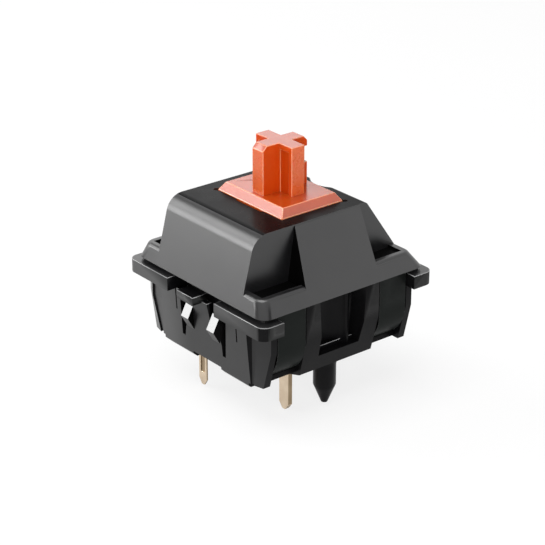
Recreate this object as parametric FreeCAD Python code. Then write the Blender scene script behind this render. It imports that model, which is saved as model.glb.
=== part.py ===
import FreeCAD, Part
import math
import os

# Mechanical keyboard switch: a square two-part housing with a cross-topped plunger on a
# coil spring, and a leaf contact that the plunger lets go as it sinks.
# Frame: millimetres, +Z up, origin on the board surface at the middle of the body.
# +Y is the side of the two contact pins, -Y the side of the lamp opening.

# Body and flange of the lower housing
body_size = 14.0
flange_reach = 0.8
flange_thick = 1.0
flange_corner_radius = 0.7
seat_height = 5.0
lip_height = 0.25

# Walls of the lower housing, outside
side_bend_height = 3.4
side_foot_draft = 0.75
side_foot_height = 0.55
side_foot_run = 1.85
end_foot_draft = 0.28
end_foot_height = 0.33
end_step_height = 0.5
end_step_depth = 1.4
end_step_from = -1.75
end_step_to = 1.5

# Cavity of the lower housing
floor_thick = 1.0
side_wall = 2.25
end_wall = 1.3
pocket_wall = 0.6
pocket_from_y = 2.9
pocket_height = 2.6

# Corner legs of the lower housing
corner_face_inset_x = 1.0
corner_face_inset_y = 0.55
corner_foot_inset_x = 0.8
corner_foot_inset_y = 0.2
corner_foot_height = 0.55
corner_hollow_inset = 2.1
corner_hollow_depth = 0.5
corner_arc_share = 0.35
corner_arc_depth = 0.4
corner_overlap = 0.1
corner_leg_clearance = 0.03

# Latch legs of the upper housing and their channels
latch_low_y = 3.4
latch_high_y = 5.85
latch_thick = 0.85
latch_curve_radius = 2.8
latch_hook = 0.4
latch_hook_height = 0.8
latch_hook_slope = 0.4
latch_clearance = 0.08
latch_shelf_inset = 1.1
latch_shelf_edge = 0.72
latch_shelf_bevel = 0.2
latch_under_slope = 0.34

# Recesses in the middle of the side walls
recess_half_top = 2.12
recess_half_bottom = 1.85
recess_floor = 1.72
recess_depth = 0.8
recess_back_depth = 1.5
recess_back_to = -1.2
recess_bowl_radius = 1.65
recess_ledge_rise = 0.25
recess_ledge_depth = 1.2
recess_bowl_inset = 0.1

# Plate clips in the end walls
clip_slab = 0.5
clip_gap = 0.35
clip_gap_floor = 1.2
clip_half = 2.65
clip_foot_height = 1.5
clip_foot_shift = 0.25
clip_knee_shift = 0.15
clip_waist_height = 2.9
clip_knee_height = 2.3
clip_foot_half = 2.3
clip_knee_half = 2.15
clip_waist_half = 1.8
clip_window_top = 4.5
clip_top_half = 0.5
clip_gap_from = -2.4
clip_gap_to = 3.0
clip_screen_rise = 0.3
clip_screen_thick = 0.4
barb_inner = 1.08
barb_width = 0.8
barb_shift = 0.1
barb_reach = 0.4
barb_crest_height = 3.35
barb_foot_height = 2.4
barb_top_height = 4.45
barb_top_inset = 0.15
clip_shoulder_half = 0.8
clip_shoulder_height = 3.85
release_tab_from = 0.05
release_tab_to = 1.9
release_tab_drop = 0.1
release_tab_thick = 0.6
mould_slot_width = 0.13
mould_slot_left_x = 3.15
mould_slot_right_x = -3.8
mould_slot_bottom = 3.3
mould_slot_left_top = 4.95
mould_slot_right_top = 4.4

# Guide tube, centre post and fixing pegs
guide_tube_radius = 1.7
guide_bore_radius = 1.07
guide_bore_bottom = -1.2
centre_post_radius = 2.0
centre_post_length = 1.8
centre_post_bevel = 0.3
peg_cells = 8
peg_root_flare = 0.1
peg_radius = 0.83
peg_straight = 1.6
peg_length = 3.05
peg_tip_radius = 0.24

# Holes for the two leads of a lamp
lead_cells_apart = 2
lead_cells_y = -4
lead_hole_radius = 0.5

# Upper housing
shell_wall = 0.8
shell_reach_x = 0.3
shell_reach_y = 0.4
shell_height = 5.05
side_panel_lean = 0.485
pin_panel_lean = 0.256
lamp_panel_lean = 0.703
end_block_half = 4.85
side_block_half = 3.2
side_block_top_half = 2.65
side_edge_radius = 0.25
rim_height = 1.2
rim_corner_radius = 0.9
rim_edge_radius = 0.35
rim_lip_width = 0.5
notch_floor_drop = 0.2
pin_edge_radius = 1.4
lamp_edge_radius = 0.4

# Reliefs round the plunger's opening
relief_run = 0.4
relief_reach = 0.25
scoop_from = -1.64
scoop_to = 1.31
scoop_width = 0.16
scoop_depth = 0.35

# Lamp well in the upper housing
lamp_well_radius = 1.8

# Plunger
travel = 4.0
shoulder_length = 7.2
shoulder_width = 5.5
shoulder_rise = 0.6
shoulder_bevel = 0.41
aperture_clearance = 0.1
plunger_wall = 0.6
plunger_skirt = 2.8
plunger_ceiling = 0.8
cross_height = 3.6
cross_length = 4.0
cross_arm_x = 1.15
cross_arm_y = 1.2
cross_end_bevel = 0.35
cross_panel_depth = 0.12
cross_panel_from = 0.75
cross_panel_to = 1.65
cross_panel_drop = 0.45
cross_notch_depth = 0.23
cross_notch_low = 1.65
cross_notch_high = 2.8
pole_radius = 0.97
pole_engagement = 0.8
rail_half = 0.8
rail_reach = 4.2
rail_floor_gap = 0.3
rail_stop_gap = 0.05
rail_clearance = 0.12
rail_guide_width = 0.5
rail_guide_overlap = 0.1

# Cam legs of the plunger, which hold the leaf off
cam_inner = 1.6
cam_width = 1.0
cam_thick = 0.6
cam_floor_gap = 0.25
cam_root = 0.8
cam_lean = 0.075
cam_leaf_gap = 0.08

# Return spring
spring_wire = 0.2
spring_wire_sides = 6
spring_mean_radius = 1.95
spring_turns = 9
spring_end_gap = 0.04

# Terminals: grid places of the pins and the stock they are stamped from
pin_grid = 1.27
fixed_pin_cells_x = -3
fixed_pin_cells_y = 2
leaf_pin_cells_x = 2
leaf_pin_cells_y = 4
pin_width = 1.0
pin_length = 3.3
leaf_pin_width = 0.88
leaf_pin_length = 3.12
pin_point_rise = 0.45
pin_point_width = 0.3
fixed_stock = 0.4
leaf_stock = 0.16
slot_clearance = 0.04
pin_bead_width = 0.5
pin_bead_depth = 0.08
pin_bead_end = 2.1

# Fixed contact
fixed_plate_gap = 0.5
fixed_plate_to = 1.2
fixed_head_half = 1.2
fixed_head_y = 3.2
fixed_head_margin = 0.5
crosspoint_rise = 1.1
crosspoint_size = 0.25
crosspoint_length = 0.9
crosspoint_proud = 0.2
crosspoint_drop = 0.25

# Leaf
leaf_thick = 0.15
leaf_half = 2.75
leaf_root_height = 1.5
leaf_root_gap = 0.05
leaf_margin = 0.3
contact_gap = 0.3
leaf_window_half = 1.25
leaf_window_rise = 0.9
leaf_window_margin = 1.5
leaf_slit = 0.2
leaf_slit_depth = 1.1
terminal_strip_from = -1.6

# How far a cut runs past what it cuts
cut_margin = 1.0

Vec = FreeCAD.Vector
X_AXIS = Vec(1, 0, 0)
Y_AXIS = Vec(0, 1, 0)
Z_AXIS = Vec(0, 0, 1)

# Heights and places that follow from the driving dimensions
body_half = body_size / 2
flange_half = body_half + flange_reach
flange_top = seat_height + flange_thick
parting_height = flange_top + lip_height
shell_top = parting_height + shell_height
shell_base_half_x = body_half + shell_reach_x
shell_base_half_y = body_half + shell_reach_y
release_tab_height = seat_height - release_tab_drop
shoulder_top = shell_top + shoulder_rise
cross_top = shoulder_top + cross_height
ceiling_height = shoulder_top - plunger_ceiling
skirt_foot = shell_top - plunger_skirt
pole_reach = seat_height - pole_engagement
rail_foot = floor_thick + travel + rail_floor_gap
cam_foot = floor_thick + travel + cam_floor_gap
cam_head = skirt_foot + cam_root
fixed_plate_top = skirt_foot - travel - fixed_plate_gap
crosspoint_height = seat_height + crosspoint_rise
fixed_head_top = crosspoint_height + fixed_head_margin
leaf_top = crosspoint_height + leaf_margin
leaf_window_low = leaf_root_height + leaf_window_rise
leaf_window_high = leaf_top - leaf_window_margin
above_all = cross_top + cut_margin
outside = 2 * flange_half
side_foot_half = body_half - side_foot_draft
end_foot_half = body_half - end_foot_draft
cavity_half_x = body_half - side_wall
cavity_half_y = body_half - end_wall
corner_leg_y = latch_high_y + latch_clearance
corner_face_x = body_half - corner_face_inset_x
corner_face_y = body_half - corner_face_inset_y
corner_foot_x = side_foot_half - corner_foot_inset_x
corner_foot_y = end_foot_half - corner_foot_inset_y
corner_hollow_x = body_half - corner_hollow_inset
latch_shelf_half = body_half - latch_shelf_inset
peg_x = peg_cells / 2 * pin_grid
lead_x = lead_cells_apart / 2 * pin_grid
lead_hole_y = lead_cells_y * pin_grid
slab_back = body_half - clip_slab
latch_tip_x = body_half - latch_thick - latch_hook
latch_sweep = math.acos(1 - (body_half - latch_tip_x) / latch_curve_radius)
latch_tip_height = side_bend_height - latch_curve_radius * math.sin(latch_sweep)
fixed_pin_x = fixed_pin_cells_x * pin_grid
fixed_pin_y = fixed_pin_cells_y * pin_grid
leaf_pin_x = leaf_pin_cells_x * pin_grid
leaf_pin_y = leaf_pin_cells_y * pin_grid


def block(x_low, x_high, y_low, y_high, z_low, z_high):
    return Part.makeBox(x_high - x_low, y_high - y_low, z_high - z_low, Vec(x_low, y_low, z_low))


def along_x(outline, x_low, x_high):
    corners = [Vec(x_low, y, z) for y, z in outline]
    return Part.Face(Part.makePolygon(corners + corners[:1])).extrude(Vec(x_high - x_low, 0, 0))


def along_y(outline, y_low, y_high):
    corners = [Vec(x, y_low, z) for x, z in outline]
    return Part.Face(Part.makePolygon(corners + corners[:1])).extrude(Vec(0, y_high - y_low, 0))


def along_z(outline, z_low, z_high):
    corners = [Vec(x, y, z_low) for x, y in outline]
    return Part.Face(Part.makePolygon(corners + corners[:1])).extrude(Vec(0, 0, z_high - z_low))


def both_ways(half_outline):
    """Closes a half outline, listed upward on the plus side, with its mirror image."""
    return half_outline + [(-u, v) for u, v in reversed(half_outline)]


def on_both_sides(shape, axis):
    return shape.fuse(shape.mirror(Vec(0, 0, 0), axis))


def in_four_corners(shape):
    return on_both_sides(on_both_sides(shape, X_AXIS), Y_AXIS)


def at_both_ends(shape):
    turned = shape.copy()
    turned.rotate(Vec(0, 0, 0), Z_AXIS, 180)
    return shape.fuse(turned)


def fuse_all(shapes):
    result = shapes[0]
    for shape in shapes[1:]:
        result = result.fuse(shape)
    return result


def edges_where(shape, test):
    return [edge for edge in shape.Edges if test(edge)]


def edges_along(edges, axis):
    return [edge for edge in edges if abs(edge.tangentAt(edge.FirstParameter).dot(axis)) > 0.5]


def is_upright(edge):
    first, last = edge.Vertexes[0].Point, edge.Vertexes[-1].Point
    return abs(last.z - first.z) > 0.5 * edge.Length


# Lower housing

def housing_walls():
    side = [
        (side_foot_half - side_foot_run, 0),
        (side_foot_half, side_foot_height),
        (body_half, side_bend_height),
        (body_half, parting_height),
    ]
    end = [
        (end_foot_half - end_foot_height, 0),
        (end_foot_half, end_foot_height),
        (body_half, seat_height),
        (body_half, parting_height),
    ]
    walls = along_y(both_ways(side), -body_half, body_half)
    return walls.common(along_x(both_ways(end), -body_half, body_half))


def flange():
    plate = block(-flange_half, flange_half, -flange_half, flange_half, seat_height, flange_top)
    plate = plate.makeFillet(flange_corner_radius, edges_where(plate, is_upright))
    side_gap = block(body_half, outside, -corner_leg_y, corner_leg_y, 0, above_all)
    return plate.cut(on_both_sides(side_gap, X_AXIS))


def corner_region():
    low_y = corner_leg_y - corner_leg_clearance
    return block(corner_hollow_x, outside, low_y, outside, -cut_margin, seat_height)


def corner_leg():
    """Tapered pillar under the flange corner, upright above the bend of the side wall."""
    inner_x = corner_hollow_x + corner_hollow_depth
    upper = [
        Vec(corner_face_x, body_half, side_bend_height),
        Vec(body_half, corner_face_y, side_bend_height),
        Vec(body_half, corner_leg_y, side_bend_height),
        Vec(inner_x, corner_leg_y, side_bend_height),
    ]
    lower = [
        Vec(corner_foot_x, end_foot_half, corner_foot_height),
        Vec(side_foot_half, corner_foot_y, corner_foot_height),
        Vec(side_foot_half, corner_leg_y, corner_foot_height),
        Vec(inner_x, corner_leg_y, corner_foot_height),
    ]
    wires = [Part.makePolygon(points + points[:1]) for points in (lower, upper)]
    taper = Part.makeLoft(wires, True, True)
    pillar = Part.Face(wires[1]).extrude(Vec(0, 0, seat_height - side_bend_height))
    return taper.fuse(pillar)


def corner_web():
    """Hollow between the end wall and the corner leg, with a curved back."""
    start = Vec(corner_hollow_x, body_half, corner_foot_height)
    middle = Vec(
        corner_hollow_x + corner_arc_share * (corner_face_x - corner_hollow_x),
        body_half - corner_arc_depth,
        corner_foot_height,
    )
    finish = Vec(corner_face_x, body_half - corner_hollow_depth, corner_foot_height)
    back = [
        finish,
        Vec(corner_face_x, corner_leg_y - corner_overlap, corner_foot_height),
        Vec(corner_hollow_x, corner_leg_y - corner_overlap, corner_foot_height),
        start,
    ]
    wire = Part.Wire([Part.Arc(start, middle, finish).toShape()] + Part.makePolygon(back).Edges)
    web = Part.Face(wire).extrude(Vec(0, 0, seat_height - corner_foot_height))
    return web.common(housing_walls())


def cavity():
    well = block(
        -cavity_half_x, cavity_half_x, -cavity_half_y, cavity_half_y, floor_thick, above_all
    )
    pocket_x = body_half - latch_thick - latch_clearance - pocket_wall
    pocket = block(0, pocket_x, pocket_from_y, cavity_half_y, pocket_height, above_all)
    return well.fuse(in_four_corners(pocket))


def latch_channel():
    """Channel for one latch leg, with the undercut that its hook snaps into."""
    low = latch_low_y - latch_clearance
    high = latch_high_y + latch_clearance
    back = body_half - latch_thick - latch_clearance
    hook_back = back - latch_hook
    shelf = latch_tip_height - latch_clearance
    hook_top = latch_tip_height + latch_hook_height + latch_clearance
    outline = [
        (outside, latch_shelf_edge),
        (latch_shelf_half, latch_shelf_edge),
        (latch_shelf_half - latch_shelf_bevel, shelf),
        (hook_back, shelf),
        (hook_back, hook_top),
        (back, hook_top + latch_hook_slope),
        (back, above_all),
        (outside, above_all),
    ]
    under = [
        (latch_shelf_half, latch_shelf_edge),
        (outside, latch_shelf_edge),
        (outside, -cut_margin),
        (latch_shelf_half - (latch_shelf_edge + cut_margin) / latch_under_slope, -cut_margin),
    ]
    channel = along_y(outline, low, high)
    return channel.fuse(along_y(under, low, high))


def side_recess():
    """Recess in the side wall: tapered mouth, a square back and a bowl beside it."""
    top = parting_height + cut_margin
    growth = (recess_half_top - recess_half_bottom) / (parting_height - recess_floor)
    top_half = recess_half_top + growth * (top - parting_height)
    mouth_outline = [(recess_half_bottom, recess_floor), (top_half, top)]
    mouth = along_x(both_ways(mouth_outline), -outside, -outside / 4)
    front = -body_half
    shallow = block(-outside, front + recess_depth, -body_half, body_half, 0, top)
    square = block(-outside, front + recess_back_depth, -body_half, recess_back_to, 0, top)
    bowl_y = recess_back_to + recess_bowl_radius
    bowl = Part.makeCylinder(recess_bowl_radius, top, Vec(front + recess_bowl_inset, bowl_y, 0))
    ledge_x = front + recess_ledge_depth
    ledge = block(ledge_x, 0, -body_half, body_half, 0, recess_floor + recess_ledge_rise)
    return mouth.common(fuse_all([shallow, square, bowl])).cut(ledge)


def clip_openings():
    """Everything removed round one spring clip: two windows, the head room and the gap."""
    front = outside
    head = above_all
    right = [
        (clip_foot_shift - clip_half, clip_foot_height),
        (clip_foot_shift - clip_foot_half, clip_foot_height),
        (clip_knee_shift - clip_knee_half, clip_knee_height),
        (-clip_waist_half, clip_waist_height),
        (-clip_waist_half, clip_shoulder_height),
        (-clip_shoulder_half, clip_shoulder_height),
        (-clip_top_half, seat_height),
        (-clip_top_half, head),
        (clip_gap_from, head),
        (clip_gap_from, clip_window_top),
        (-clip_half, clip_window_top),
    ]
    left = [
        (clip_half, clip_foot_height),
        (clip_foot_half, clip_foot_height),
        (clip_knee_half, clip_knee_height),
        (clip_waist_half, clip_waist_height),
        (clip_waist_half, clip_window_top),
        (clip_half, clip_window_top),
    ]
    windows = along_y(right, slab_back, front).fuse(along_y(left, slab_back, front))
    head_room = block(-clip_top_half, clip_gap_to, slab_back, front, seat_height, head)
    gap = block(
        -clip_half, clip_gap_to, slab_back - clip_gap, slab_back, clip_gap_floor, head
    )
    return fuse_all([windows, head_room, gap])


def clip_barb(x_low):
    run = (body_half - end_foot_half) / seat_height
    face_at_foot = body_half - run * (seat_height - barb_foot_height)
    face_at_top = body_half - run * (seat_height - barb_top_height)
    outline = [
        (slab_back, barb_foot_height),
        (face_at_foot, barb_foot_height),
        (body_half + barb_reach, barb_crest_height),
        (face_at_top - barb_top_inset, barb_top_height),
        (slab_back, barb_top_height),
    ]
    return along_x(outline, x_low, x_low + barb_width)


def clip_screen():
    """Thin wall behind the clip that closes the view into the housing over its gap."""
    back = slab_back - clip_gap - clip_screen_thick
    top = parting_height + clip_screen_rise
    return block(-clip_half, clip_gap_to, back, slab_back - clip_gap, floor_thick, top)


def clip_additions():
    right = clip_barb(barb_shift - barb_inner - barb_width)
    barbs = clip_barb(barb_shift + barb_inner).fuse(right)
    tab = block(
        release_tab_from, release_tab_to, slab_back, flange_half,
        release_tab_height, release_tab_height + release_tab_thick,
    )
    return fuse_all([barbs, tab, clip_screen()])


def mould_slots():
    """Two hairline slots in the end wall beside the clip."""
    half = mould_slot_width / 2
    left = block(
        mould_slot_left_x - half, mould_slot_left_x + half,
        slab_back, outside, mould_slot_bottom, mould_slot_left_top,
    )
    right = block(
        mould_slot_right_x - half, mould_slot_right_x + half,
        slab_back, outside, mould_slot_bottom, mould_slot_right_top,
    )
    return left.fuse(right)


def end_step():
    """Raised stretch of the bottom edge under the clip."""
    back = body_half - end_step_depth
    return block(end_step_from, end_step_to, back, outside, -cut_margin, end_step_height)


def guide_tube():
    root = floor_thick / 2
    return Part.makeCylinder(guide_tube_radius, seat_height - root, Vec(0, 0, root))


def guide_bore():
    return Part.makeCylinder(
        guide_bore_radius, above_all - guide_bore_bottom, Vec(0, 0, guide_bore_bottom)
    )


def centre_post():
    straight = centre_post_length - centre_post_bevel
    shaft = Part.makeCylinder(
        centre_post_radius, straight + floor_thick / 2, Vec(0, 0, -straight)
    )
    tip = Part.makeCone(
        centre_post_radius - centre_post_bevel, centre_post_radius,
        centre_post_bevel, Vec(0, 0, -centre_post_length),
    )
    return shaft.fuse(tip)


def fixing_peg():
    """Pointed peg that the board grips, with a slight flare where it leaves the floor."""
    root = floor_thick / 2
    shaft = Part.makeCylinder(peg_radius, peg_straight, Vec(peg_x, 0, -peg_straight))
    flare = Part.makeCone(peg_radius, peg_radius + peg_root_flare, root, Vec(peg_x, 0, 0))
    point = Part.makeCone(
        peg_tip_radius, peg_radius, peg_length - peg_straight, Vec(peg_x, 0, -peg_length)
    )
    return fuse_all([flare, shaft, point])


def rail_guides():
    """Two upright ribs each side that keep the plunger rail straight."""
    inner = rail_half + rail_clearance
    outer = inner + rail_guide_width
    start = rail_reach - rail_guide_width
    rib = block(start, cavity_half_x + rail_guide_overlap, inner, outer, floor_thick, seat_height)
    return in_four_corners(rib)


def pin_slot(x, y, stock, width):
    half_width = width / 2 + slot_clearance
    half_stock = stock / 2 + slot_clearance
    return block(
        x - half_width, x + half_width, y - half_stock, y + half_stock, -floor_thick, 2 * floor_thick
    )


def lead_holes():
    hole = Part.makeCylinder(
        lead_hole_radius, 2 * floor_thick, Vec(lead_x, lead_hole_y, -floor_thick / 2)
    )
    return on_both_sides(hole, X_AXIS)


def lower_housing():
    walls = housing_walls()
    corner_parts = corner_leg().fuse(corner_web())
    walls = walls.cut(in_four_corners(corner_region())).fuse(in_four_corners(corner_parts))
    walls = walls.fuse(flange())
    cuts = [
        cavity(),
        in_four_corners(latch_channel()),
        at_both_ends(side_recess()),
        at_both_ends(clip_openings()),
        at_both_ends(mould_slots()),
        at_both_ends(end_step()),
    ]
    for cut in cuts:
        walls = walls.cut(cut)
    additions = [
        at_both_ends(clip_additions()),
        guide_tube(),
        centre_post(),
        on_both_sides(fixing_peg(), X_AXIS),
        rail_guides(),
    ]
    housing = fuse_all([walls] + additions)
    housing = housing.cut(guide_bore())
    housing = housing.cut(pin_slot(fixed_pin_x, fixed_pin_y, fixed_stock, pin_width))
    housing = housing.cut(pin_slot(leaf_pin_x, leaf_pin_y, leaf_stock, leaf_pin_width))
    return housing.cut(lead_holes()).removeSplitter()


# Upper housing

def leaning_panel(base_half, lean, inset, height):
    """Foot and head of a leaning panel, moved inward square to its face by the inset."""
    base = base_half - inset * math.hypot(1, lean)
    return [(base, parting_height), (base - lean * height, parting_height + height)]


def side_profile(inset, height):
    """Outline in X and Z between the two equal side panels."""
    return both_ways(leaning_panel(shell_base_half_x, side_panel_lean, inset, height))


def end_profile(inset, height):
    """Outline in Y and Z between the steep pin panel and the flatter lamp panel."""
    pin_end = leaning_panel(shell_base_half_y, pin_panel_lean, inset, height)
    lamp_end = leaning_panel(shell_base_half_y, lamp_panel_lean, inset, height)
    return pin_end + [(-y, z) for y, z in reversed(lamp_end)]


def top_edges(solid, top):
    return edges_where(solid, lambda edge: all(abs(v.Point.z - top) < 1e-6 for v in edge.Vertexes))


def end_block(inset):
    """Middle part of the cap, from the pin panel to the lamp panel."""
    height = shell_height - inset
    solid = along_x(end_profile(inset, height), inset - end_block_half, end_block_half - inset)
    across = edges_along(top_edges(solid, parting_height + height), X_AXIS)
    pin_edge = max(across, key=lambda edge: edge.CenterOfMass.y)
    if inset:
        return solid.makeFillet(pin_edge_radius - inset, [pin_edge])
    solid = solid.makeFillet(pin_edge_radius, [pin_edge])
    across = edges_along(top_edges(solid, parting_height + height), X_AXIS)
    lamp_edge = min(across, key=lambda edge: edge.CenterOfMass.y)
    return solid.makeFillet(lamp_edge_radius, [lamp_edge])


def side_block(inset):
    """Middle part of the cap between the side panels, with a drafted end toward the pins."""
    height = shell_height - inset
    top = parting_height + height
    low_y = inset - side_block_half
    solid = along_y(side_profile(inset, height), low_y, side_block_half - inset)
    ends = [
        (low_y, parting_height),
        (side_block_half - inset, parting_height),
        (side_block_half - inset, parting_height + rim_height),
        (side_block_top_half - inset, top),
        (low_y, top),
    ]
    solid = solid.common(along_x(ends, -outside, outside))
    if inset:
        return solid
    return solid.makeFillet(side_edge_radius, edges_along(top_edges(solid, top), Y_AXIS))


def rim(inset):
    """Low skirt all round, with round corners and, outside, a rounded top edge."""
    height = rim_height - inset
    solid = along_y(side_profile(inset, height), -outside, outside).common(
        along_x(end_profile(inset, height), -outside, outside)
    )
    solid = solid.makeFillet(rim_corner_radius - inset / 2, edges_where(solid, is_upright))
    if inset:
        return solid
    return solid.makeFillet(rim_edge_radius, top_edges(solid, parting_height + height))


def notch_floor(end_sign, lean):
    """Lowered floor of the two corner notches at one end, inside the lip of the rim."""
    low = parting_height + rim_height - notch_floor_drop
    x_high = shell_base_half_x - side_panel_lean * rim_height - rim_lip_width
    y_low = end_sign * side_block_half
    y_high = end_sign * (shell_base_half_y - lean * rim_height - rim_lip_width)
    floor = block(end_block_half, x_high, min(y_low, y_high), max(y_low, y_high), low, above_all)
    return on_both_sides(floor, X_AXIS)


def crown(inset):
    return fuse_all([rim(inset), end_block(inset), side_block(inset)])


def latch_leg():
    """Leg with its outside curving inward to a hook."""
    front = body_half
    back = body_half - latch_thick
    centre_x = front - latch_curve_radius
    half = latch_sweep / 2
    arc = Part.Arc(
        Vec(front, 0, side_bend_height),
        Vec(
            centre_x + latch_curve_radius * math.cos(half), 0,
            side_bend_height - latch_curve_radius * math.sin(half),
        ),
        Vec(latch_tip_x, 0, latch_tip_height),
    ).toShape()
    hook_top = latch_tip_height + latch_hook_height
    head = parting_height + shell_wall / 2
    inside = [
        Vec(latch_tip_x, 0, latch_tip_height),
        Vec(latch_tip_x, 0, hook_top),
        Vec(back, 0, hook_top + latch_hook_slope),
        Vec(back, 0, head),
        Vec(front, 0, head),
        Vec(front, 0, side_bend_height),
    ]
    face = Part.Face(Part.Wire([arc] + Part.makePolygon(inside).Edges))
    leg = face.extrude(Vec(0, latch_high_y - latch_low_y, 0))
    leg.translate(Vec(0, latch_low_y, 0))
    return leg


def aperture():
    """Opening for the plunger, with two corner reliefs and a scoop on the pin side."""
    half_x = shoulder_length / 2 + aperture_clearance
    half_y = shoulder_width / 2 + aperture_clearance
    low = shell_top - 2 * shell_wall
    corner = [
        (half_x - relief_run, half_y),
        (half_x, half_y + relief_reach),
        (half_x + relief_reach, half_y),
        (half_x, half_y - relief_run),
    ]
    scoop = block(
        scoop_from, scoop_to, 0, half_y + scoop_width, shell_top - scoop_depth, above_all
    )
    opening = block(-half_x, half_x, -half_y, half_y, low, above_all)
    return fuse_all([opening, at_both_ends(along_z(corner, low, above_all)), scoop])


def lamp_well():
    """Round well over the lead holes, open through the lamp panel."""
    return Part.makeCylinder(
        lamp_well_radius, above_all - parting_height, Vec(0, lead_hole_y, parting_height)
    )


def upper_housing():
    shell = crown(0).cut(notch_floor(1, pin_panel_lean)).cut(notch_floor(-1, lamp_panel_lean))
    shell = shell.cut(crown(shell_wall))
    shell = shell.fuse(in_four_corners(latch_leg()))
    return shell.cut(aperture()).cut(lamp_well()).removeSplitter()


# Plunger

def cross():
    """Cross of the keycap mount, with bevelled ends and sunk arm faces."""
    half = cross_length / 2
    low = shoulder_top - plunger_ceiling / 2
    arm_x = block(-half, half, -cross_arm_x / 2, cross_arm_x / 2, low, cross_top)
    side = [
        (half, low),
        (half, cross_top - cross_end_bevel),
        (half - cross_end_bevel, cross_top),
    ]
    arm_y = along_x(both_ways(side), -cross_arm_y / 2, cross_arm_y / 2)
    panel = block(
        cross_panel_from, cross_panel_to, cross_arm_x / 2 - cross_panel_depth, half,
        shoulder_top, cross_top - cross_panel_drop,
    )
    notch = block(
        -cross_arm_y, cross_arm_y, -half, cross_notch_depth - half,
        shoulder_top + cross_notch_low, shoulder_top + cross_notch_high,
    )
    return arm_x.cut(in_four_corners(panel)).fuse(arm_y.cut(notch))


def shoulder():
    half_x = shoulder_length / 2
    half_y = shoulder_width / 2
    lower = block(-half_x, half_x, -half_y, half_y, skirt_foot, shell_top)
    side = [
        (half_x, shell_top), (half_x - shoulder_bevel, shoulder_top),
    ]
    end = [
        (half_y, shell_top), (half_y - shoulder_bevel, shoulder_top),
    ]
    upper = along_y(both_ways(side), -half_y, half_y).common(
        along_x(both_ways(end), -half_x, half_x)
    )
    well = block(
        plunger_wall - half_x, half_x - plunger_wall,
        plunger_wall - half_y, half_y - plunger_wall, skirt_foot, ceiling_height,
    )
    return lower.fuse(upper).cut(well)


def rail():
    """Side rail that slides between the guide ribs and stops under the upper housing."""
    inner = shoulder_length / 2 - plunger_wall
    head = shell_top - shell_wall - rail_stop_gap
    return block(inner, rail_reach, -rail_half, rail_half, rail_foot, head)


def leaf_line_y(z):
    """Middle of the leaf at rest, on the straight line from its root to its top."""
    share = (z - leaf_root_height) / (crosspoint_height - leaf_root_height)
    return leaf_pin_y + share * (leaf_contact_y - leaf_pin_y)


fixed_head_front = fixed_head_y + fixed_stock / 2
leaf_contact_y = fixed_head_front + 2 * crosspoint_proud + contact_gap + leaf_thick / 2


def cam_leg():
    """Leg whose sloping front holds one ear of the leaf off until the plunger sinks."""
    front_top = leaf_line_y(leaf_top) - leaf_thick / 2 - cam_leaf_gap
    front_foot = front_top + cam_lean * (leaf_top - cam_foot)
    front_head = front_top - cam_lean * (cam_head - leaf_top)
    back = front_head - cam_thick
    outline = [
        (back, cam_foot),
        (front_foot, cam_foot),
        (front_head, cam_head),
        (shoulder_width / 2 - plunger_wall, cam_head),
        (shoulder_width / 2 - plunger_wall, skirt_foot),
        (back, skirt_foot),
    ]
    return along_x(outline, cam_inner, cam_inner + cam_width)


def stem():
    pole = Part.makeCylinder(
        pole_radius, ceiling_height + plunger_ceiling / 2 - pole_reach, Vec(0, 0, pole_reach)
    )
    parts = [
        shoulder(), cross(), pole, on_both_sides(rail(), X_AXIS),
        on_both_sides(cam_leg(), X_AXIS),
    ]
    return fuse_all(parts).removeSplitter()


# Spring

def return_spring():
    """Coil from the floor to the plunger's ceiling, its round wire drawn with flats."""
    wire_radius = spring_wire / 2
    low = floor_thick + spring_end_gap + wire_radius
    high = ceiling_height - spring_end_gap - wire_radius
    corners = []
    for step in range(spring_wire_sides):
        angle = 2 * math.pi * step / spring_wire_sides
        reach = spring_mean_radius + wire_radius * math.cos(angle)
        corners.append(Vec(reach, 0, low + wire_radius * math.sin(angle)))
    section = Part.makePolygon(corners + corners[:1])
    path = Part.makeHelix((high - low) / spring_turns, high - low, spring_mean_radius)
    path.translate(Vec(0, 0, low))
    return Part.Wire(path.Edges).makePipeShell([section], True, True)


# Contacts

def pointed_pin(x, y, stock, width, length):
    """Flat pin from the floor's top down through the board, with a bevelled point."""
    half = width / 2
    point = pin_point_width / 2
    outline = [
        (x - half, floor_thick),
        (x - half, pin_point_rise - length),
        (x - point, -length),
        (x + point, -length),
        (x + half, pin_point_rise - length),
        (x + half, floor_thick),
    ]
    return along_y(outline, y - stock / 2, y + stock / 2)


def fixed_contact():
    """Stamped plate on the floor, stepped toward the leaf at its head."""
    y = fixed_pin_y
    half_stock = fixed_stock / 2
    pin = pointed_pin(fixed_pin_x, y, fixed_stock, pin_width, pin_length)
    left = fixed_pin_x - pin_width / 2
    plate = block(left, fixed_plate_to, y - half_stock, y + half_stock, floor_thick, fixed_plate_top)
    step = [
        (y - half_stock, fixed_plate_top - fixed_stock),
        (fixed_head_y + half_stock, fixed_plate_top - fixed_stock),
        (fixed_head_y + half_stock, fixed_head_top),
        (fixed_head_y - half_stock, fixed_head_top),
        (fixed_head_y - half_stock, fixed_plate_top),
        (y - half_stock, fixed_plate_top),
    ]
    head = along_x(step, -fixed_head_half, fixed_head_half)
    return fuse_all([pin, plate, head]).removeSplitter()


def fixed_crosspoint():
    """Bar of contact metal lying across the head of the fixed contact."""
    size = crosspoint_size
    outline = [
        (fixed_head_front, crosspoint_height - size / 2),
        (fixed_head_front + crosspoint_proud, crosspoint_height),
        (fixed_head_front, crosspoint_height + size / 2),
    ]
    return along_x(outline, -crosspoint_length / 2, crosspoint_length / 2)


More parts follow.
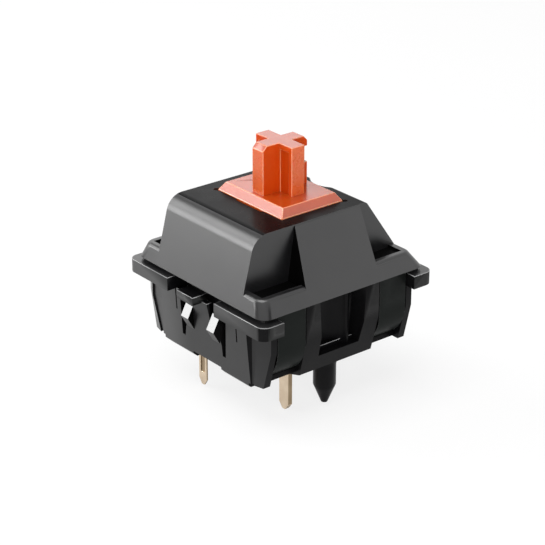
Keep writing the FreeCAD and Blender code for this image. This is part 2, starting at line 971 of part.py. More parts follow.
def on_leaf(shape):
    """Leans a shape drawn upright over the leaf root to the leaf's rest angle."""
    rise = crosspoint_height - leaf_root_height
    angle = math.degrees(math.atan2(leaf_pin_y - leaf_contact_y, rise))
    leaned = shape.copy()
    leaned.rotate(Vec(0, leaf_pin_y, leaf_root_height), X_AXIS, angle)
    return leaned


def leaf_height(z):
    """Length along the leaning leaf that reaches the height z."""
    rise = crosspoint_height - leaf_root_height
    stretch = math.hypot(rise, leaf_pin_y - leaf_contact_y) / rise
    return leaf_root_height + (z - leaf_root_height) * stretch


def contact_leaf():
    """Thin blade with a window for spring and two ears beside the contact tongue."""
    back = leaf_pin_y - leaf_thick / 2
    front = leaf_pin_y + leaf_thick / 2
    top = leaf_height(leaf_top)
    blade = block(-leaf_half, leaf_half, back, front, leaf_root_height, top)
    window = block(
        -leaf_window_half, leaf_window_half, -outside, outside,
        leaf_height(leaf_window_low), leaf_height(leaf_window_high),
    )
    slit = block(
        leaf_window_half - leaf_slit / 2, leaf_window_half + leaf_slit / 2,
        -outside, outside, top - leaf_slit_depth, above_all,
    )
    return on_leaf(blade.cut(window).cut(on_both_sides(slit, X_AXIS)))


def moving_crosspoint():
    """Bar of contact metal standing on the tongue of the leaf, square to the fixed one."""
    size = crosspoint_size
    back = leaf_pin_y - leaf_thick / 2
    middle = leaf_height(crosspoint_height)
    low = middle - crosspoint_length / 2
    high = middle + crosspoint_length / 2 - crosspoint_drop
    outline = [(-size / 2, back), (0, back - crosspoint_proud), (size / 2, back)]
    return on_leaf(along_z(outline, low, high))


def leaf_terminal():
    """Pin of the leaf and the strip on the floor that the leaf rises from."""
    half_stock = leaf_stock / 2
    pin = pointed_pin(leaf_pin_x, leaf_pin_y, leaf_stock, leaf_pin_width, leaf_pin_length)
    strip = block(
        terminal_strip_from, leaf_pin_x + leaf_pin_width / 2,
        leaf_pin_y - half_stock, leaf_pin_y + half_stock,
        floor_thick, leaf_root_height - leaf_root_gap,
    )
    bead = block(
        leaf_pin_x - pin_bead_width / 2, leaf_pin_x + pin_bead_width / 2,
        leaf_pin_y + half_stock - pin_bead_depth, leaf_pin_y + half_stock,
        -pin_bead_end, 0,
    )
    return pin.fuse(strip).cut(bead).removeSplitter()


NODES = {
    "lower_housing": lower_housing,
    "upper_housing": upper_housing,
    "stem": stem,
    "return_spring": return_spring,
    "fixed_contact": fixed_contact,
    "fixed_crosspoint": fixed_crosspoint,
    "contact_leaf": contact_leaf,
    "moving_crosspoint": moving_crosspoint,
    "leaf_terminal": leaf_terminal,
}

os.makedirs("parts", exist_ok=True)
for name, make in NODES.items():
    shape = make()
    shape.exportStep("parts/" + name + ".step")
    print(name, "solids", len(shape.Solids), "valid", shape.isValid(), "volume", round(shape.Volume, 3))
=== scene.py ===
import math

import bmesh
import bpy
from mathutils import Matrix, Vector

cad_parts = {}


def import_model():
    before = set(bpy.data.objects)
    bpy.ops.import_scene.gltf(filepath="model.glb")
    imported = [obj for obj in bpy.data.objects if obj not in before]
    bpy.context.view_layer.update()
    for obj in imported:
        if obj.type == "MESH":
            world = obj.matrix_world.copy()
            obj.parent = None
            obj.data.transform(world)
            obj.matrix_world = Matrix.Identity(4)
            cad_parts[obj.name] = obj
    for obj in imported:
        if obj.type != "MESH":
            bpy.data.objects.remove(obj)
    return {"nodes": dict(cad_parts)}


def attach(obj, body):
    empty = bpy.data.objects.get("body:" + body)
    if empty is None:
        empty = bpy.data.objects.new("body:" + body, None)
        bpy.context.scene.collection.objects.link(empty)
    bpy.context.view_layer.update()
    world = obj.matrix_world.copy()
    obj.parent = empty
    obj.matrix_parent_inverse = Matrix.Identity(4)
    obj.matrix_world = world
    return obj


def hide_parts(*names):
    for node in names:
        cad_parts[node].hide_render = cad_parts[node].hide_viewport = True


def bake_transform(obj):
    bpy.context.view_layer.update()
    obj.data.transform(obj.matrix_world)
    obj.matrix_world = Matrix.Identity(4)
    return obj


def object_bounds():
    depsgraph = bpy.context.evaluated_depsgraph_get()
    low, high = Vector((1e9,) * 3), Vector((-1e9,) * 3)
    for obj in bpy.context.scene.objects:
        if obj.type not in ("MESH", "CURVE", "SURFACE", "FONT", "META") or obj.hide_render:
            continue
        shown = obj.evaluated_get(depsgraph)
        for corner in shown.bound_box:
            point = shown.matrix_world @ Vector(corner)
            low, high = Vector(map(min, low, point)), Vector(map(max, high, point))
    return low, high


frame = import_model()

cad_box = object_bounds()
nodes = frame["nodes"]
MM = 0.001

# Spring, as the solids have it
FLOOR_THICK = 1.0 * MM
CEILING_HEIGHT = 11.1 * MM
SPRING_WIRE = 0.2 * MM
SPRING_MEAN_RADIUS = 1.95 * MM
SPRING_TURNS = 9
SPRING_END_GAP = 0.04 * MM
STEPS_PER_TURN = 28
SIDES_OF_WIRE = 10

# Clip barbs, in mm, which bound their painted highlight and painted shade
BARB_INNER = 0.9
BARB_OUTER = 2.1
BARB_CREST = 3.3
BARB_FOOT = 1.5
BARB_TOP = 4.6

# End walls and flange of the lower housing, in mm, which bound their painted sheen and painted
# edge highlight
BODY_HALF = 6.9
WALL_FROM = 6.0
FLANGE_FROM = 5.5
FLANGE_SIDE = 5.05
FLANGE_EDGES_FROM = 4.5

# Ledge at the foot of the side recess, in mm, whose top edges carry a painted highlight
LEDGE_FROM = 1.9
LEDGE_TO = 2.05
LEDGE_INNER = 5.1
LEDGE_OUTER = 5.8

# Plates over the corner hollows at one side, in mm
WEB_INNER = 4.86
WEB_OUTER_TOP = 5.9
WEB_OUTER_FOOT = 5.38
WEB_TOP = 5.0
WEB_BEND = 3.4
WEB_FOOT = 0.6
WEB_Y_TOP = 6.86
WEB_Y_FOOT = 6.62
WEB_THICK = 0.2

# Black plates of painted shade that close the tops of the side recesses, in mm
COVER_X_FROM = 4.8
COVER_X_TO = 6.3
COVER_HALF_Y = 2.3
COVER_LOW = 6.06
COVER_HIGH = 6.24

# Where the cross's end faces, painted lighter, begin, from the axis in mm
CROSS_END_FROM = 1.9

# Levels on the upper housing where its painted shade changes, in mm
TOP_FROM = 11.0
NOTCH_FLOOR_TO = 7.35
LEGS_TO = 6.2

# Edge radii of the pieces
UPPER_EDGE = 0.06 * MM
LOWER_EDGE = 0.035 * MM
STEM_EDGE = 0.05 * MM
PIN_EDGE = 0.03 * MM
WEB_EDGE = 0.04 * MM
EDGE_SEGMENTS = 2
SHARP_FROM = math.radians(24)
FLAT_WITHIN = math.radians(0.6)
SAME_POINT = 0.002 * MM
LARGE_FACES_LEAD = 80

# Least part of a face's normal that lies along an axis
FACES_UP = 0.95
BORDERS_TOP = 0.9
UPPER_FACES_END = 0.98
FLANGE_FACES_OUT = 0.97
WALL_FACES_END = 0.8
BARB_FACES_UP = 0.3
BARB_FACES_SIDE = 0.9
PIN_FACES = 0.5
UPRIGHT_WITHIN = 0.3
GROOVE_DEPTH = 0.03 * MM

# Noises: scale, detail and roughness
CLOUDS = (260, 4, 0.5)
PATCHES = (900, 5, 0.6)
STREAKS = (9000, 3, 0.5)
TARNISH = (1100, 5, 0.6)
PAPER = (30, 3, 0.5)
GRAIN_DETAIL = 2
GRAIN_STRENGTH = 0.35
STREAK_DEPTH = 0.01 * MM
STREAK_STRENGTH = 0.3
NOISE_LOW = 0.3
NOISE_HIGH = 0.7

# Stretch of a noise along the axes
EVENLY = (1, 1, 1)
ALONG_X = (0.06, 1, 1)
ALONG_Z = (1, 1, 0.06)
ALONG_DRAFT = (1, 1, 0.5)

# Dark and light tone of the materials that share them
SATIN_TONES = ((0.004, 0.004, 0.0045), (0.007, 0.0068, 0.0072))
DEEP_TONES = ((0.002, 0.002, 0.0025), (0.005, 0.0048, 0.005))
ORANGE_TONES = ((0.38, 0.045, 0.004), (0.44, 0.058, 0.007))
PAPER_TONES = ((0.86, 0.86, 0.86), (0.9, 0.9, 0.9))

# Places and levels between which the painted sheen on the end walls grows
SHEEN_X_FROM = 1.5 * MM
SHEEN_X_TO = 5.0 * MM
SHEEN_FROM = 0.42
SHEEN_TO = 1.0

# Names of shader sockets
SPECULAR = "Specular IOR Level"
INDEX = "IOR"


# Node helpers

def node_tree(name):
    material = bpy.data.materials.new(name)
    material.use_nodes = True
    tree = material.node_tree
    return material, tree, tree.nodes["Principled BSDF"]


def set_levels(shader, levels):
    for socket, level in levels.items():
        shader.inputs[socket].default_value = level


def noise(tree, coordinates, scale, detail, roughness=0.5):
    texture = tree.nodes.new("ShaderNodeTexNoise")
    texture.inputs["Scale"].default_value = scale
    texture.inputs["Detail"].default_value = detail
    texture.inputs["Roughness"].default_value = roughness
    tree.links.new(coordinates, texture.inputs["Vector"])
    return texture.outputs["Fac"]


def mapped(tree, value, start, end, first, last):
    """Node that turns the range from start to end into the one from first to last."""
    remap = tree.nodes.new("ShaderNodeMapRange")
    remap.inputs["From Min"].default_value = start
    remap.inputs["From Max"].default_value = end
    remap.inputs["To Min"].default_value = first
    remap.inputs["To Max"].default_value = last
    tree.links.new(value, remap.inputs["Value"])
    return remap


def spread(tree, value, low, high):
    """Maps the middle of a noise to the range from low to high."""
    return mapped(tree, value, NOISE_LOW, NOISE_HIGH, low, high).outputs["Result"]


def colour_between(tree, value, tones):
    dark, light = tones
    mix = tree.nodes.new("ShaderNodeMix")
    mix.data_type = "RGBA"
    mix.inputs["A"].default_value = (*dark, 1)
    mix.inputs["B"].default_value = (*light, 1)
    tree.links.new(value, mix.inputs["Factor"])
    return mix.outputs["Result"]


def bump(tree, height, distance, strength):
    node = tree.nodes.new("ShaderNodeBump")
    node.inputs["Distance"].default_value = distance
    node.inputs["Strength"].default_value = strength
    tree.links.new(height, node.inputs["Height"])
    return node.outputs["Normal"]


def object_space(tree, stretch=EVENLY):
    source = tree.nodes.new("ShaderNodeTexCoord")
    mapping = tree.nodes.new("ShaderNodeMapping")
    mapping.inputs["Scale"].default_value = stretch
    tree.links.new(source.outputs["Object"], mapping.inputs["Vector"])
    return mapping.outputs["Vector"]


def along_axis(tree, axis, start, end, first, last):
    """Value that goes smoothly from first to last between two places on an axis."""
    axes = tree.nodes.new("ShaderNodeSeparateXYZ")
    tree.links.new(object_space(tree), axes.inputs["Vector"])
    remap = mapped(tree, axes.outputs[axis], start, end, first, last)
    remap.interpolation_type = "SMOOTHSTEP"
    return remap.outputs["Result"]


def finish(tree, shader, colours, tones, gloss, roughness, normal):
    """Links a noise for the colour, one for the roughness and a bump to the shader."""
    tree.links.new(
        colour_between(tree, spread(tree, colours, 0, 1), tones), shader.inputs["Base Color"]
    )
    tree.links.new(spread(tree, gloss, *roughness), shader.inputs["Roughness"])
    tree.links.new(normal, shader.inputs["Normal"])


def moulded(name, tones, roughness, grain, grain_depth, levels, flow=EVENLY):
    """Injection-moulded plastic: cloudy colour, patchy gloss and a fine spark-eroded grain."""
    material, tree, shader = node_tree(name)
    coordinates = object_space(tree)
    clouds = noise(tree, object_space(tree, flow), *CLOUDS)
    patches = noise(tree, coordinates, *PATCHES)
    fine = noise(tree, coordinates, grain, GRAIN_DETAIL)
    normal = bump(tree, fine, grain_depth, GRAIN_STRENGTH)
    finish(tree, shader, clouds, tones, patches, roughness, normal)
    set_levels(shader, levels)
    return material


def end_wall_sheen():
    """Black of the two end walls, with a painted sheen that grows towards one side."""
    material = moulded("end_wall_sheen_black", SATIN_TONES, (0.28, 0.36), 12000, 0.005 * MM, {})
    tree = material.node_tree
    # Specular level rising along X: painted sheen
    gloss = along_axis(tree, "X", SHEEN_X_FROM, SHEEN_X_TO, SHEEN_FROM, SHEEN_TO)
    tree.links.new(gloss, tree.nodes["Principled BSDF"].inputs[SPECULAR])
    return material


def orange(name, tones, roughness, specular, index=1.5):
    """Orange plastic that lets some light in under its surface."""
    levels = {
        SPECULAR: specular,
        INDEX: index,
        "Subsurface Weight": 0.35,
        "Subsurface Radius": (1.0, 0.3, 0.1),
        "Subsurface Scale": 0.5 * MM,
    }
    return moulded(name, tones, roughness, 11000, 0.004 * MM, levels, ALONG_DRAFT)


def metal(name, tones, roughness, along):
    """Rolled strip or drawn wire: fine streaks along the stock and a soft tarnish."""
    material, tree, shader = node_tree(name)
    streaks = noise(tree, object_space(tree, along), *STREAKS)
    tarnish = noise(tree, object_space(tree), *TARNISH)
    normal = bump(tree, streaks, STREAK_DEPTH, STREAK_STRENGTH)
    finish(tree, shader, tarnish, tones, streaks, roughness, normal)
    set_levels(shader, {"Metallic": 1.0})
    return material


# Black plastics of the two housings, and black of the cards
housing_black = moulded(
    "housing_black", SATIN_TONES, (0.29, 0.34), 14000, 0.004 * MM, {SPECULAR: 0.75}
)
base_black = moulded(
    "base_black", DEEP_TONES, (0.26, 0.36), 12000, 0.005 * MM, {SPECULAR: 0.08}
)
# Darker, duller black for the top face: painted shade
top_shade_black = moulded(
    "top_shade_black", DEEP_TONES, (0.26, 0.32), 12000, 0.004 * MM, {SPECULAR: 0.035}
)
# Duller black for the upper housing below its flange: painted shade
leg_shade_black = moulded(
    "leg_shade_black", ((0.0106, 0.012, 0.0113), (0.0127, 0.014, 0.0133)), (0.3, 0.38),
    12000, 0.004 * MM, {SPECULAR: 0.015},
)
# Lighter, glossier black for the barbs' upper faces: painted highlight
barb_highlight_black = moulded(
    "barb_highlight_black", ((0.01, 0.01, 0.0105), (0.02, 0.0195, 0.02)), (0.08, 0.14),
    15000, 0.002 * MM, {INDEX: 2.0},
)
shade_black = moulded(
    "shade_black", ((0.001, 0.001, 0.001), (0.002, 0.002, 0.002)), (0.4, 0.5),
    12000, 0.005 * MM, {SPECULAR: 0.02},
)
wall_sheen_black = end_wall_sheen()
# Light grey for the lower housing's rounded top edges: painted highlight
flange_edge_highlight = moulded(
    "flange_edge_highlight", ((0.17, 0.17, 0.172), (0.22, 0.219, 0.222)), (0.24, 0.3),
    14000, 0.003 * MM, {SPECULAR: 1.0},
)
# Lighter, glossier black for the flange's side faces: painted sheen
flange_side_sheen = moulded(
    "flange_side_sheen", ((0.003, 0.0032, 0.0032), (0.006, 0.0062, 0.006)), (0.28, 0.36),
    12000, 0.005 * MM, {SPECULAR: 0.27},
)
# Grey for the rounded edges of the upper housing and the corner plates: painted highlight
edge_highlight_black = moulded(
    "edge_highlight_black", ((0.03, 0.03, 0.031), (0.045, 0.0445, 0.046)), (0.24, 0.3),
    14000, 0.003 * MM, {SPECULAR: 1.0, INDEX: 1.7},
)

# Orange plastic of the plunger
stem_orange = orange("stem_orange", ORANGE_TONES, (0.2, 0.26), 1.0)
# Glossier copy for the plunger's upward faces: painted sheen
stem_top_sheen = orange("stem_top_sheen", ORANGE_TONES, (0.2, 0.26), 1.0, 1.55)
# Light orange for the plunger's rounded edges: painted highlight
stem_edge_highlight = orange("stem_edge_highlight", ((0.62, 0.2, 0.09), (0.7, 0.25, 0.13)), (0.2, 0.26), 1.0)
# Duller, deeper orange copy for the upright faces near the axis: painted shade
stem_sides_shade = orange(
    "stem_sides_shade", ((0.48, 0.048, 0.003), (0.54, 0.06, 0.005)), (0.28, 0.36), 0.06
)
# Lighter copy for the cross's end faces: painted light
stem_ends_lit = orange(
    "stem_ends_lit", ((0.54, 0.085, 0.008), (0.6, 0.1, 0.012)), (0.24, 0.32), 0.65
)

# Metals of the spring and the contacts
spring_steel = metal(
    "spring_steel", ((0.5, 0.5, 0.51), (0.66, 0.66, 0.67)), (0.16, 0.3), EVENLY
)
pin_brass = metal(
    "pin_brass", ((0.58, 0.46, 0.33), (0.68, 0.56, 0.42)), (0.3, 0.42), ALONG_Z
)
# Darker brass for the pins' flanks and groove: painted shade
pin_shade = metal(
    "pin_shade", ((0.26, 0.19, 0.12), (0.33, 0.25, 0.16)), (0.34, 0.46), ALONG_Z
)
leaf_bronze = metal(
    "leaf_bronze", ((0.62, 0.42, 0.26), (0.74, 0.53, 0.33)), (0.24, 0.38), ALONG_Z
)
crosspoint_gold = metal(
    "crosspoint_gold", ((0.76, 0.52, 0.2), (0.88, 0.66, 0.3)), (0.14, 0.26), ALONG_X
)


# Mesh helpers

def placed(name, mesh):
    piece = bpy.data.objects.new(name, mesh)
    bpy.context.scene.collection.objects.link(piece)
    return piece


def built(name, work):
    """Object from a finished bmesh, with its faces turned outward."""
    bmesh.ops.recalc_face_normals(work, faces=work.faces)
    mesh = bpy.data.meshes.new(name)
    work.to_mesh(mesh)
    work.free()
    return placed(name, mesh)


def sheet(name, corners):
    mesh = bpy.data.meshes.new(name)
    mesh.from_pydata(corners, [], [(0, 1, 2, 3)])
    return placed(name, mesh)


def dress(piece, *materials):
    piece.data.materials.clear()
    for material in materials:
        piece.data.materials.append(material)


def paint(piece, tone_of):
    """Gives each face the material that tone_of names, or leaves it in the first."""
    for face in piece.data.polygons:
        tone = tone_of(face)
        if tone:
            face.material_index = piece.data.materials.find(tone.name)


def size_in_mm(place):
    return (abs(value) / MM for value in place)


def edge_radius(piece, width, edge_slot):
    bevel = piece.modifiers.new("edge radius", "BEVEL")
    bevel.width = width
    bevel.segments = EDGE_SEGMENTS
    bevel.material = edge_slot
    return bevel


# Moulded pieces with the small edge radii of their tools, and a painted highlight along those
# edges

def all_edges(edge):
    return True


def flange_highlight_edges(edge):
    """Edges of the flange and of the recess's ledge that border an upward face, which carry the
    painted highlight.
    """
    x, _, z = size_in_mm((edge.verts[0].co + edge.verts[1].co) / 2)
    on_ledge = LEDGE_INNER < x < LEDGE_OUTER and LEDGE_FROM < z < LEDGE_TO
    return (z > FLANGE_EDGES_FROM or on_ledge) and any(
        face.normal.z > BORDERS_TOP for face in edge.link_faces
    )


def softened(node, body, materials, radius, edge_material, chosen=all_edges):
    """Copy of a solid with its outward edges rounded, in a material of their own; on the
    housings and the plunger that material is lighter, a painted highlight.
    """
    mesh = nodes[node].data.copy()
    piece = placed(node + "_moulded", mesh)
    work = bmesh.new()
    work.from_mesh(mesh)
    bmesh.ops.remove_doubles(work, verts=work.verts, dist=SAME_POINT)
    bmesh.ops.dissolve_limit(
        work, angle_limit=FLAT_WITHIN, verts=work.verts, edges=work.edges
    )
    for face in work.faces:
        face.smooth = True
    weight = work.edges.layers.float.new("bevel_weight_edge")
    for edge in work.edges:
        if len(edge.link_faces) != 2 or edge.calc_face_angle() < SHARP_FROM:
            continue
        if edge.is_convex and chosen(edge):
            edge[weight] = 1.0
        else:
            edge.smooth = False
    work.to_mesh(mesh)
    work.free()
    bevel = edge_radius(piece, radius, materials.index(edge_material))
    bevel.limit_method = "WEIGHT"
    bevel.use_clamp_overlap = chosen is all_edges
    bevel.miter_outer = "MITER_ARC"
    normals = piece.modifiers.new("flat faces stay flat", "WEIGHTED_NORMAL")
    normals.keep_sharp = True
    normals.weight = LARGE_FACES_LEAD
    dress(piece, *materials)
    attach(piece, body)
    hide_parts(node)
    return piece


def upper_tone(face):
    # Painted shade: darker black on the top face, on faces turned squarely to the ends and on
    # the notch floors, and duller black below the flange
    height = face.center.z / MM
    upward = face.normal.z > FACES_UP
    if upward and height > TOP_FROM:
        return top_shade_black
    if abs(face.normal.y) > UPPER_FACES_END or (upward and height < NOTCH_FLOOR_TO):
        return shade_black
    if height < LEGS_TO:
        return leg_shade_black
    return None


def lower_tone(face):
    x, y, z = size_in_mm(face.center)
    on_barb = BARB_INNER < x < BARB_OUTER and y > BODY_HALF and BARB_FOOT < z < BARB_TOP
    # Upper faces of the barbs: painted highlight
    if on_barb and z > BARB_CREST and face.normal.z > BARB_FACES_UP:
        return barb_highlight_black
    # Sides of the barbs: painted shade
    if on_barb and abs(face.normal.x) > BARB_FACES_SIDE:
        return shade_black
    # Faces turned to the ends: painted sheen, brighter than the side walls
    faces_end = FLANGE_FACES_OUT if z > FLANGE_SIDE else WALL_FACES_END
    if abs(face.normal.y) > faces_end and y > WALL_FROM and z > 0:
        return wall_sheen_black
    # Flange faces turned to the sides: painted sheen
    if abs(face.normal.x) > FLANGE_FACES_OUT and z > FLANGE_SIDE:
        return flange_side_sheen
    # Upward flange faces take the upper housing's lighter, glossier black: painted sheen on the
    # flange's top
    if face.normal.z > FACES_UP and z > FLANGE_FROM:
        return housing_black
    return None


def stem_tone(face):
    x, y, _ = size_in_mm(face.center)
    # Painted light and shade: lighter end faces, duller upright faces near the axis, a glossier
    # top
    if abs(face.normal.z) < UPRIGHT_WITHIN:
        return stem_ends_lit if max(x, y) > CROSS_END_FROM else stem_sides_shade
    if face.normal.z > FACES_UP:
        return stem_top_sheen
    return None


upper = softened(
    "upper_housing", "housing",
    (housing_black, leg_shade_black, edge_highlight_black, top_shade_black, shade_black), UPPER_EDGE, edge_highlight_black,
)
paint(upper, upper_tone)
lower = softened(
    "lower_housing", "housing",
    (base_black, barb_highlight_black, flange_edge_highlight, wall_sheen_black, shade_black, housing_black, flange_side_sheen),
    LOWER_EDGE, flange_edge_highlight, flange_highlight_edges,
)
paint(lower, lower_tone)
stem = softened(
    "stem", "plunger",
    (stem_orange, stem_sides_shade, stem_ends_lit, stem_edge_highlight, stem_top_sheen), STEM_EDGE, stem_edge_highlight,
)
paint(stem, stem_tone)


# Thin plates inside the solids' box, at the corner hollows, and plates of painted shade over
# the side recesses

def corner_panel(name, mirror):
    """Plate over a corner hollow, in line with the end wall above and below its bend."""
    work = bmesh.new()
    rows = []
    for x, y, z in (
        (WEB_OUTER_TOP, WEB_Y_TOP, WEB_TOP),
        (WEB_OUTER_TOP, WEB_Y_TOP, WEB_BEND),
        (WEB_OUTER_FOOT, WEB_Y_FOOT, WEB_FOOT),
    ):
        rows.append([
            work.verts.new(Vector((corner_x, mirror * corner_y, z)) * MM)
            for corner_x, corner_y in (
                (WEB_INNER, y), (x, y), (x, y - WEB_THICK), (WEB_INNER, y - WEB_THICK)
            )
        ])
    for above, below in zip(rows, rows[1:]):
        for index in range(4):
            after = (index + 1) % 4
            work.faces.new((above[index], above[after], below[after], below[index]))
    work.faces.new(rows[0])
    work.faces.new(list(reversed(rows[-1])))
    piece = built(name, work)
    bevel = edge_radius(piece, WEB_EDGE, 1)
    bevel.limit_method = "ANGLE"
    bevel.angle_limit = SHARP_FROM
    dress(piece, wall_sheen_black, edge_highlight_black)
    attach(piece, "housing")


def recess_shade_plate(name, mirror):
    """Black plate of painted shade that closes the top of a side recess under the upper
    housing.
    """
    low = (COVER_X_FROM, -COVER_HALF_Y, COVER_LOW)
    high = (COVER_X_TO, COVER_HALF_Y, COVER_HIGH)
    work = bmesh.new()
    bmesh.ops.create_cube(work, size=1.0)
    for vertex in work.verts:
        x, y, z = (
            first + (second - first) * (value + 0.5)
            for first, second, value in zip(low, high, vertex.co)
        )
        vertex.co = Vector((x * mirror, y, z)) * MM
    piece = built(name, work)
    dress(piece, shade_black)
    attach(piece, "housing")


corner_panel("corner_web_a", 1)
corner_panel("corner_web_b", -1)
recess_shade_plate("recess_shade_plate_a", 1)
recess_shade_plate("recess_shade_plate_b", -1)


# Coil spring

def coil(name, low, high):
    """Round wire wound from one height to the other."""
    work = bmesh.new()
    rings = []
    rise = (high - low) / (2 * math.pi * SPRING_TURNS)
    pitch = rise / SPRING_MEAN_RADIUS
    for step in range(SPRING_TURNS * STEPS_PER_TURN + 1):
        angle = 2 * math.pi * step / STEPS_PER_TURN
        outward = Vector((math.cos(angle), math.sin(angle), 0))
        forward = Vector((-math.sin(angle), math.cos(angle), pitch)).normalized()
        upward = outward.cross(forward) * -1
        centre = outward * SPRING_MEAN_RADIUS + Vector((0, 0, low + rise * angle))
        ring = []
        for side in range(SIDES_OF_WIRE):
            turn = 2 * math.pi * side / SIDES_OF_WIRE
            across = outward * math.cos(turn) + upward * math.sin(turn)
            ring.append(work.verts.new(centre + across * SPRING_WIRE / 2))
        rings.append(ring)
    for first, second in zip(rings, rings[1:]):
        for side in range(SIDES_OF_WIRE):
            after = (side + 1) % SIDES_OF_WIRE
            work.faces.new((first[side], first[after], second[after], second[side]))
    work.faces.new(list(reversed(rings[0])))
    work.faces.new(rings[-1])
    for face in work.faces:
        face.smooth = True
    return built(name, work)


spring = coil(
    "return_coil",
    FLOOR_THICK + SPRING_END_GAP + SPRING_WIRE / 2,
    CEILING_HEIGHT - SPRING_END_GAP - SPRING_WIRE / 2,
)
dress(spring, spring_steel)
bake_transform(spring)
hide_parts("return_spring")


# Contacts, the pins with painted shade on their flanks and in the pressed groove

def terminal(node):
    pin = softened(node, "housing", (pin_brass, pin_shade), PIN_EDGE, pin_brass)
    front = max(vertex.co.y for vertex in pin.data.vertices if vertex.co.z < 0)

    def pin_tone(face):
        below_front = face.center.z < 0 and face.center.y < front - GROOVE_DEPTH
        in_groove = below_front and face.normal.y > PIN_FACES
        return pin_shade if in_groove or abs(face.normal.x) > PIN_FACES else None

    paint(pin, pin_tone)


terminal("fixed_contact")
terminal("leaf_terminal")
dress(nodes["contact_leaf"], leaf_bronze)
dress(nodes["fixed_crosspoint"], crosspoint_gold)
dress(nodes["moving_crosspoint"], crosspoint_gold)


# Floor and studio light

CENTRE = Vector((0.3 * MM, 0.4 * MM, 5.3 * MM))
CORNERS = ((-1, -1), (1, -1), (1, 1), (-1, 1))
FLOOR_HALF = 3.0
FLOOR_LEVELS = {"Roughness": 0.9, SPECULAR: 0.1}
FLOOR_WHITE_SHARE = 0.8
WORLD_LEVEL = 0.16
LAMP_DISTANCE = 0.3

# Lamps: direction in degrees, width and height in m, and power
LAMPS = {
    "left_box": (43, 10.5, 0.24, 0.115, 0.51),
    "left_high_box": (31, 35, 0.16, 0.115, 0.25),
    "back_box": (338, 26, 0.2, 0.12, 0.08),
    "right_box": (217, 20, 0.2, 0.2, 0.045),
    "top_box": (100, 75, 0.25, 0.25, 0.8),
    "fill_box": (150, 15, 0.2, 0.2, 0.65),
}
LAMP_WITHOUT_GLOSS = "fill_box"

# Black cards: direction in degrees, distance, width and height in m
CARDS = {
    "edge_card": (350, 46, 0.3, 0.16, 0.07),
    "corner_card_a": (82, 4, 0.045, 0.014, 0.028),
    "corner_card_b": (184, 4, 0.045, 0.016, 0.028),
}


def seen_directly(tree):
    """1 for rays from the camera, off a glossy surface or through a clear one."""
    path = tree.nodes.new("ShaderNodeLightPath")
    level = path.outputs["Is Camera Ray"]
    for kind in ("Is Glossy Ray", "Is Transmission Ray"):
        larger = tree.nodes.new("ShaderNodeMath")
        larger.operation = "MAXIMUM"
        tree.links.new(level, larger.inputs[0])
        tree.links.new(path.outputs[kind], larger.inputs[1])
        level = larger.outputs[0]
    return level


def floor():
    height = cad_box[0][2]
    piece = sheet("floor", [(x * FLOOR_HALF, y * FLOOR_HALF, height) for x, y in CORNERS])
    material, tree, shader = node_tree("floor_paper")
    set_levels(shader, FLOOR_LEVELS)
    tone = noise(tree, object_space(tree), *PAPER)
    tree.links.new(colour_between(tree, tone, PAPER_TONES), shader.inputs["Base Color"])
    white = tree.nodes.new("ShaderNodeEmission")
    white.inputs["Strength"].default_value = 1.0
    share = tree.nodes.new("ShaderNodeMath")
    share.operation = "MULTIPLY"
    share.inputs[1].default_value = FLOOR_WHITE_SHARE
    tree.links.new(seen_directly(tree), share.inputs[0])
    mix = tree.nodes.new("ShaderNodeMixShader")
    tree.links.new(share.outputs[0], mix.inputs["Fac"])
    tree.links.new(shader.outputs["BSDF"], mix.inputs[1])
    tree.links.new(white.outputs["Emission"], mix.inputs[2])
    tree.links.new(mix.outputs["Shader"], tree.nodes["Material Output"].inputs["Surface"])
    dress(piece, material)


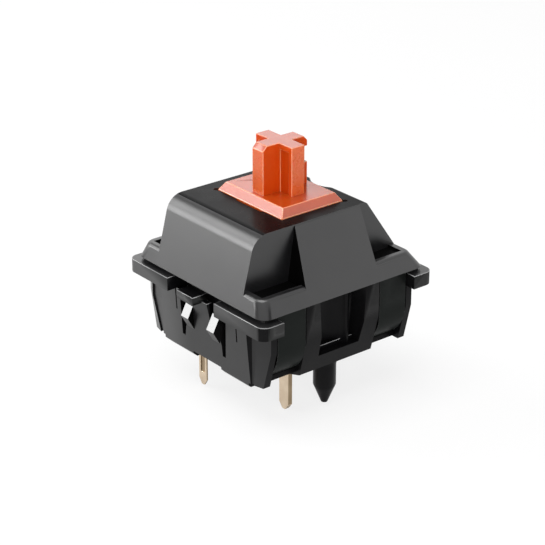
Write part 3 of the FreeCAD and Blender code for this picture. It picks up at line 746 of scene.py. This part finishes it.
def world():
    """White where it is seen, and dim where it lights."""
    studio = bpy.data.worlds.new("studio")
    studio.use_nodes = True
    tree = studio.node_tree
    background = tree.nodes["Background"]
    level = tree.nodes.new("ShaderNodeMix")
    level.data_type = "FLOAT"
    level.inputs["A"].default_value = WORLD_LEVEL
    level.inputs["B"].default_value = 1.0
    tree.links.new(seen_directly(tree), level.inputs["Factor"])
    tree.links.new(level.outputs["Result"], background.inputs["Strength"])
    background.inputs["Color"].default_value = (1, 1, 1, 1)
    bpy.context.scene.world = studio


def direction(azimuth, elevation):
    turn = math.radians(azimuth)
    rise = math.radians(elevation)
    return Vector((
        math.cos(turn) * math.cos(rise), math.sin(turn) * math.cos(rise), math.sin(rise)
    ))


def softbox(name, azimuth, elevation, width, height, power):
    light = bpy.data.lights.new(name, "AREA")
    light.shape = "RECTANGLE"
    light.size = width
    light.size_y = height
    light.energy = power
    lamp = placed(name, light)
    toward = direction(azimuth, elevation)
    lamp.location = CENTRE + toward * LAMP_DISTANCE
    lamp.rotation_euler = toward.to_track_quat("Z", "Y").to_euler()
    lamp.visible_camera = False
    lamp.visible_glossy = name != LAMP_WITHOUT_GLOSS


def dark_card(name, azimuth, elevation, distance, width, height):
    """Black card that darkens what glossy faces turned to it show."""
    toward = direction(azimuth, elevation)
    across = toward.cross(Vector((0, 0, 1))).normalized()
    upward = across.cross(toward)
    middle = CENTRE + toward * distance
    card = sheet(name, [
        middle + across * (side * width / 2) + upward * (level * height / 2)
        for side, level in CORNERS
    ])
    dress(card, shade_black)
    card.visible_camera = False
    card.visible_shadow = False
    card.visible_diffuse = False


floor()
world()
for name, lamp in LAMPS.items():
    softbox(name, *lamp)
for name, card in CARDS.items():
    dark_card(name, *card)


# Camera at the place that the photograph was taken from

CAMERA_PLACE = Vector((-93.77 * MM, 76.42 * MM, 60.02 * MM))
TARGET = Vector((0.327 * MM, 0.405 * MM, 5.271 * MM))
LENS = 121.87
SENSOR_WIDTH = 36.0
CLIP_START = 0.005
CLIP_END = 20.0

camera_data = bpy.data.cameras.new("photo_camera")
camera_data.sensor_fit = "HORIZONTAL"
camera_data.sensor_width = SENSOR_WIDTH
camera_data.lens = LENS
camera_data.clip_start = CLIP_START
camera_data.clip_end = CLIP_END
camera = placed("photo_camera", camera_data)
camera.location = CAMERA_PLACE
camera.rotation_euler = (TARGET - CAMERA_PLACE).to_track_quat("-Z", "Y").to_euler()
bpy.context.scene.camera = camera

bpy.context.scene.view_settings.view_transform = "Standard"
